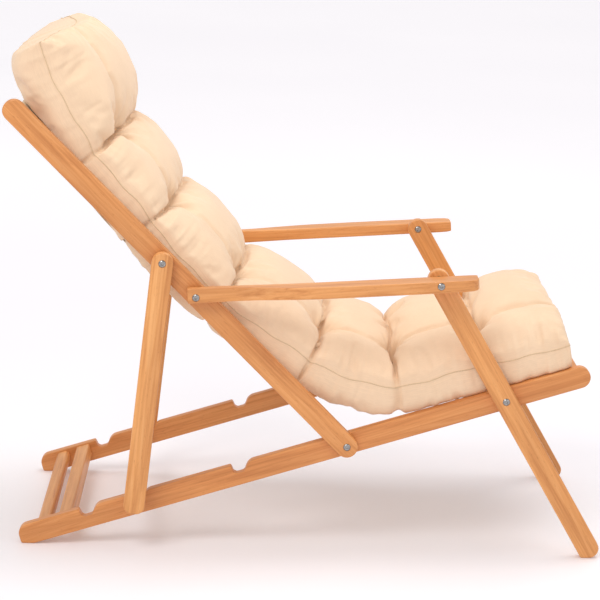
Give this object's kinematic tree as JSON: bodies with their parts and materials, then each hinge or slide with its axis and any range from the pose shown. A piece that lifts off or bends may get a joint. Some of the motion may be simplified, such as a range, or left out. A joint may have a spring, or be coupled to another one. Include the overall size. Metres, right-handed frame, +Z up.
{
  "type": "folding deck chair",
  "caption": "Folding wooden deck chair with a prop bar that drops into notches, flat armrests and a long tufted cushion on a canvas sling.",
  "frame": {"origin": "On the floor, at the centre of the chair's overall length and width as it stands open.", "axes": "+X points to the front of the chair, +Y to the sitter's left, +Z up."},
  "size_m": [1.1076, 0.6282, 0.9453],
  "materials": {
    "beech": "oiled honey-orange hardwood with fine straight grain, satin",
    "bolt_steel": "plated steel, softly polished",
    "canvas": "plain woven canvas, matt",
    "cushion_cotton": "cream brushed cotton, matt"
  },
  "bodies": {
    "base": {"rear_rail_bar": "beech", "rear_rail_slat": "beech", "front_rail_bar": "beech", "cushion_seat": "cushion_cotton", "sling_seat": "canvas", "base_rail_left": "beech", "back_sleeve_nut_left": "bolt_steel", "leg_sleeve_nut_left": "bolt_steel", "back_washer_left": "bolt_steel", "leg_washer_left": "bolt_steel", "base_rail_right": "beech", "back_sleeve_nut_right": "bolt_steel", "leg_sleeve_nut_right": "bolt_steel", "back_washer_right": "bolt_steel", "leg_washer_right": "bolt_steel"},
    "back": {"top_back_bar": "beech", "cushion_back": "cushion_cotton", "sling_back": "canvas", "back_stile_left": "beech", "back_bolt_left": "bolt_steel", "arm_rear_sleeve_nut_left": "bolt_steel", "prop_sleeve_nut_left": "bolt_steel", "arm_rear_washer_left": "bolt_steel", "prop_washer_left": "bolt_steel", "back_stile_right": "beech", "back_bolt_right": "bolt_steel", "arm_rear_sleeve_nut_right": "bolt_steel", "prop_sleeve_nut_right": "bolt_steel", "arm_rear_washer_right": "bolt_steel", "prop_washer_right": "bolt_steel"},
    "prop": {"prop_bar": "beech", "prop_left": "beech", "prop_bolt_left": "bolt_steel", "prop_right": "beech", "prop_bolt_right": "bolt_steel"},
    "leg_left": {"front_leg_left": "beech", "leg_bolt_left": "bolt_steel", "arm_front_sleeve_nut_left": "bolt_steel", "arm_front_washer_left": "bolt_steel"},
    "armrest_left": {"arm_left": "beech", "arm_rear_bolt_left": "bolt_steel", "arm_front_bolt_left": "bolt_steel"},
    "leg_right": {"front_leg_right": "beech", "leg_bolt_right": "bolt_steel", "arm_front_sleeve_nut_right": "bolt_steel", "arm_front_washer_right": "bolt_steel"},
    "armrest_right": {"arm_right": "beech", "arm_rear_bolt_right": "bolt_steel", "arm_front_bolt_right": "bolt_steel"}
  },
  "joints": [
    {"name": "back_fold", "type": "hinge", "parent": "base", "child": "back", "pos_m": [0.07817, 0, 0.2043], "axis": [0, -1, 0], "range_deg": [-8, 55.5]},
    {"name": "leg_fold_left", "type": "hinge", "parent": "base", "child": "leg_left", "pos_m": [0.36778, 0, 0.29673], "axis": [0, -1, 0], "range_deg": [-10.5, 69]},
    {"name": "arm_fold_left", "type": "hinge", "parent": "back", "child": "armrest_left", "pos_m": [-0.20402, 0, 0.48355], "axis": [0, -1, 0], "range_deg": [-44.5, 7]},
    {"name": "leg_fold_right", "type": "hinge", "parent": "base", "child": "leg_right", "pos_m": [0.36778, 0, 0.29673], "axis": [0, -1, 0], "range_deg": [-10.5, 69]},
    {"name": "arm_fold_right", "type": "hinge", "parent": "back", "child": "armrest_right", "pos_m": [-0.20402, 0, 0.48355], "axis": [0, -1, 0], "range_deg": [-44.5, 7]},
    {"name": "prop_swing", "type": "hinge", "parent": "back", "child": "prop", "pos_m": [-0.26551, 0, 0.54439], "axis": [0, 1, 0], "range_deg": [0, 129]}
  ],
  "couplings": [
    {"joint": "leg_fold_left", "follows": "back_fold", "ratio": 1.2334},
    {"joint": "arm_fold_left", "follows": "back_fold", "ratio": -0.79472},
    {"joint": "leg_fold_right", "follows": "back_fold", "ratio": 1.2334},
    {"joint": "arm_fold_right", "follows": "back_fold", "ratio": -0.79472}
  ]
}
